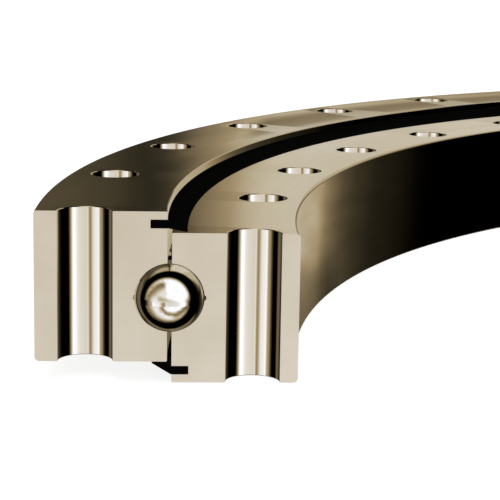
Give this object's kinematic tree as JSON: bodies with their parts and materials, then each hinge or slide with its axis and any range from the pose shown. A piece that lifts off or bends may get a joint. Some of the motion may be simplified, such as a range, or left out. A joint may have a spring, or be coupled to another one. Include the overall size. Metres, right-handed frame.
{
  "type": "slewing ring bearing",
  "caption": "Cutaway of a sealed single-row ball slewing ring without gear teeth, with through holes in both rings and the outer ring standing above the inner ring.",
  "frame": {"origin": "on the ring axis, at the lower mounting face of the inner ring", "axes": "+Z along the ring axis from the inner ring's mounting face to the outer ring's. The half-plane Y = 0, X < 0 holds the first cut face, and the removed sector lies beside it towards -Y"},
  "size_m": [0.9639, 0.964, 0.057],
  "materials": {
    "ring_steel": "fine turned",
    "ball_steel": "polished",
    "seal_rubber": "satin moulded",
    "spacer_plastic": "natural nylon, moulded",
    "zinc_plate": "zinc plated"
  },
  "bodies": {
    "inner_ring": {"inner_ring": "ring_steel", "lower_seal": "seal_rubber"},
    "outer_ring": {"outer_ring": "ring_steel", "upper_seal": "seal_rubber", "filling_plug": "ring_steel", "plug_taper_pin": "zinc_plate", "grease_nipple_1": "zinc_plate", "grease_nipple_2": "zinc_plate", "grease_nipple_3": "zinc_plate", "grease_nipple_4": "zinc_plate", "grease_nipple_5": "zinc_plate"},
    "ball_train": {"ball_group_01": "ball_steel", "ball_group_02": "ball_steel", "ball_group_03": "ball_steel", "ball_group_04": "ball_steel", "ball_group_05": "ball_steel", "ball_group_06": "ball_steel", "ball_group_07": "ball_steel", "ball_group_08": "ball_steel", "ball_group_09": "ball_steel", "ball_group_10": "ball_steel", "ball_group_11": "ball_steel", "ball_group_12": "ball_steel", "ball_group_13": "ball_steel", "ball_group_14": "ball_steel", "ball_group_15": "ball_steel", "spacer_group_01": "spacer_plastic", "spacer_group_02": "spacer_plastic", "spacer_group_03": "spacer_plastic", "spacer_group_04": "spacer_plastic", "spacer_group_05": "spacer_plastic", "spacer_group_06": "spacer_plastic", "spacer_group_07": "spacer_plastic", "spacer_group_08": "spacer_plastic", "spacer_group_09": "spacer_plastic", "spacer_group_10": "spacer_plastic", "spacer_group_11": "spacer_plastic", "spacer_group_12": "spacer_plastic", "spacer_group_13": "spacer_plastic", "spacer_group_14": "spacer_plastic", "spacer_group_15": "spacer_plastic"}
  },
  "joints": [
    {"name": "outer_ring_turn", "type": "hinge", "parent": "inner_ring", "child": "outer_ring", "pos_m": [0, 0, 0.0285], "axis": [0, 0, 1], "continuous": true},
    {"name": "ball_train_turn", "type": "hinge", "parent": "inner_ring", "child": "ball_train", "pos_m": [0, 0, 0.0285], "axis": [0, 0, 1], "continuous": true}
  ],
  "couplings": [
    {"joint": "ball_train_turn", "follows": "outer_ring_turn", "ratio": 0.50888}
  ]
}
